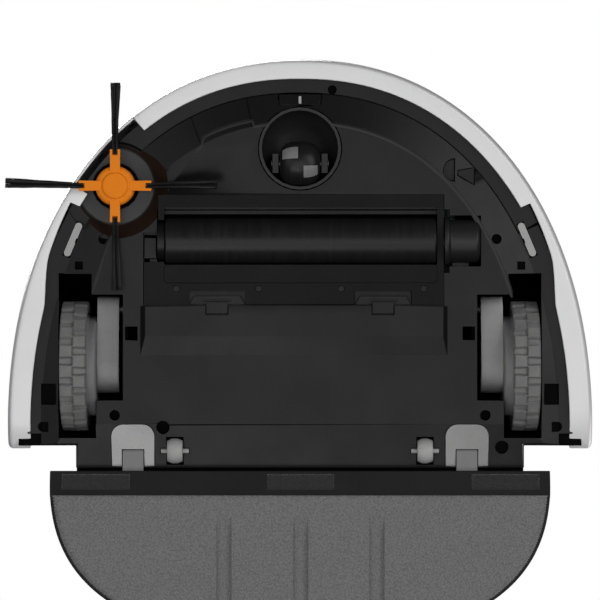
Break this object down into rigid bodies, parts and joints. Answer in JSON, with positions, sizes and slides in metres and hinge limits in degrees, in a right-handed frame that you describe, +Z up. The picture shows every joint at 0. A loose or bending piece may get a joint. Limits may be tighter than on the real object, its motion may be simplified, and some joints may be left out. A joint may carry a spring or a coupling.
{
  "type": "robot vacuum",
  "caption": "Robot vacuum with a white bumper, black base, main roller, orange side brush, drive wheels, caster and a rear mopping module.",
  "frame": {"origin": "middle of the plan outline on the floor that the wheels stand on", "axes": "+Z up, -Y towards the bumper at the front, +X to the right of someone facing the underside with the front at the top"},
  "size_m": [0.33, 0.3298, 0.09],
  "materials": {
    "white_shell": "satin white",
    "black_case": "fine-grained matte",
    "gloss_black": "gloss",
    "grey_plastic": "satin",
    "light_plastic": "satin",
    "orange_plastic": "satin",
    "roller_rubber": "satin",
    "tread_rubber": "matte",
    "steel": "bright",
    "circuit_board": "solder mask",
    "mop_fabric": "terry",
    "bristle": "nylon",
    "smoke_plastic": "smoke tinted",
    "lens": "polished"
  },
  "bodies": {
    "chassis": {"base_cover": "black_case", "front_rim": "black_case", "top_cover": "white_shell", "front_sensor": "gloss_black", "cliff_sensor": "gloss_black", "roller_housing": "black_case", "roller_bearing": "black_case", "roller_gear_housing": "black_case", "roller_motor": "steel", "side_brush_motor": "grey_plastic", "charge_contact_left": "steel", "charge_contact_right": "steel", "latch_plate_left": "light_plastic", "latch_plate_right": "light_plastic", "pivot_pin_left": "steel", "pivot_pin_right": "steel", "arm_spring_left": "steel", "arm_spring_right": "steel", "bumper_spring_left": "steel", "bumper_spring_right": "steel", "bump_switch_left": "black_case", "bump_switch_right": "black_case", "control_panel": "gloss_black", "camera_window": "lens", "camera_module": "black_case", "main_board": "circuit_board", "battery_pack": "black_case", "suction_fan": "grey_plastic"},
    "bumper": {"bumper_shell": "white_shell"},
    "guard": {"roller_guard": "black_case", "scraper_blade": "roller_rubber"},
    "latch_left": {"guard_latch_left": "black_case"},
    "latch_right": {"guard_latch_right": "black_case"},
    "main_roller": {"roller_sleeve": "roller_rubber", "roller_core": "black_case"},
    "side_brush": {"side_brush_hub": "orange_plastic", "brush_tuft_right": "bristle", "brush_tuft_rear": "bristle", "brush_tuft_left": "bristle", "brush_tuft_front": "bristle"},
    "caster": {"caster_cup": "black_case", "caster_axle": "steel"},
    "caster_roller": {"caster_wheel": "gloss_black"},
    "arm_left": {"wheel_gearbox_left": "grey_plastic"},
    "arm_right": {"wheel_gearbox_right": "grey_plastic"},
    "wheel_left": {"wheel_hub_left": "grey_plastic", "tyre_left": "tread_rubber"},
    "wheel_right": {"wheel_hub_right": "grey_plastic", "tyre_right": "tread_rubber"},
    "rear_roller_left": {"rear_roller_left": "light_plastic"},
    "rear_roller_right": {"rear_roller_right": "light_plastic"},
    "power_button": {"power_button": "gloss_black"},
    "dock_button": {"dock_button": "gloss_black"},
    "dust_bin": {"dust_bin": "smoke_plastic", "bin_filter": "mop_fabric", "bin_lid": "white_shell"},
    "bin_handle": {"bin_handle": "grey_plastic"},
    "mop_module": {"mop_plate": "black_case", "mop_cloth": "mop_fabric", "water_tank": "smoke_plastic"}
  },
  "joints": [
    {"name": "bumper_press", "type": "slide", "parent": "chassis", "child": "bumper", "axis": [0, 1, 0], "range_m": [0, 0.003], "stiffness_N_per_m": 400, "springref_m": -0.004, "deforming": ["bumper_spring_left", "bumper_spring_right"]},
    {"name": "guard_lift", "type": "slide", "parent": "chassis", "child": "guard", "axis": [0, 0, -1], "range_m": [0, 0.03]},
    {"name": "latch_left_press", "type": "slide", "parent": "guard", "child": "latch_left", "axis": [0, -1, 0], "range_m": [0, 0.0025], "stiffness_N_per_m": 400, "springref_m": -0.001},
    {"name": "latch_right_press", "type": "slide", "parent": "guard", "child": "latch_right", "axis": [0, -1, 0], "range_m": [0, 0.0025], "stiffness_N_per_m": 400, "springref_m": -0.001},
    {"name": "roller_spin", "type": "hinge", "parent": "chassis", "child": "main_roller", "pos_m": [0, -0.0618, 0.016], "axis": [1, 0, 0], "continuous": true},
    {"name": "side_brush_spin", "type": "hinge", "parent": "chassis", "child": "side_brush", "pos_m": [-0.1028, -0.0925, 0.01], "axis": [0, 0, 1], "continuous": true},
    {"name": "caster_swivel", "type": "hinge", "parent": "chassis", "child": "caster", "pos_m": [0, -0.1132, 0.02], "axis": [0, 0, 1], "continuous": true},
    {"name": "caster_spin", "type": "hinge", "parent": "caster", "child": "caster_roller", "pos_m": [0, -0.105, 0.0125], "axis": [1, 0, 0], "continuous": true},
    {"name": "arm_left_swing", "type": "hinge", "parent": "chassis", "child": "arm_left", "pos_m": [-0.1065, -0.024, 0.034], "axis": [-1, 0, 0], "range_deg": [0, 25], "stiffness_Nm_per_rad": 0.35, "springref_deg": 51.57, "deforming": ["arm_spring_left"]},
    {"name": "wheel_left_spin", "type": "hinge", "parent": "arm_left", "child": "wheel_left", "pos_m": [-0.126, 0.0082, 0.0365], "axis": [1, 0, 0], "continuous": true},
    {"name": "rear_roller_left_spin", "type": "hinge", "parent": "chassis", "child": "rear_roller_left", "pos_m": [-0.0696, 0.055, 0.0128], "axis": [1, 0, 0], "continuous": true},
    {"name": "arm_right_swing", "type": "hinge", "parent": "chassis", "child": "arm_right", "pos_m": [0.1065, -0.024, 0.034], "axis": [-1, 0, 0], "range_deg": [0, 25], "stiffness_Nm_per_rad": 0.35, "springref_deg": 51.57, "deforming": ["arm_spring_right"]},
    {"name": "wheel_right_spin", "type": "hinge", "parent": "arm_right", "child": "wheel_right", "pos_m": [0.126, 0.0082, 0.0365], "axis": [1, 0, 0], "continuous": true},
    {"name": "rear_roller_right_spin", "type": "hinge", "parent": "chassis", "child": "rear_roller_right", "pos_m": [0.0696, 0.055, 0.0128], "axis": [1, 0, 0], "continuous": true},
    {"name": "power_button_press", "type": "slide", "parent": "chassis", "child": "power_button", "axis": [0, 0, -1], "range_m": [0, 0.0008], "stiffness_N_per_m": 600, "springref_m": -0.0005},
    {"name": "dock_button_press", "type": "slide", "parent": "chassis", "child": "dock_button", "axis": [0, 0, -1], "range_m": [0, 0.0008], "stiffness_N_per_m": 600, "springref_m": -0.0005},
    {"name": "dust_bin_lift", "type": "slide", "parent": "chassis", "child": "dust_bin", "axis": [0, 0, 1], "range_m": [0, 0.08]},
    {"name": "bin_handle_fold", "type": "hinge", "parent": "dust_bin", "child": "bin_handle", "pos_m": [0, 0.0524, 0.08855], "axis": [-1, 0, 0], "range_deg": [0, 90]},
    {"name": "mop_module_slide", "type": "slide", "parent": "chassis", "child": "mop_module", "axis": [0, 1, 0], "range_m": [0, 0.1]}
  ]
}
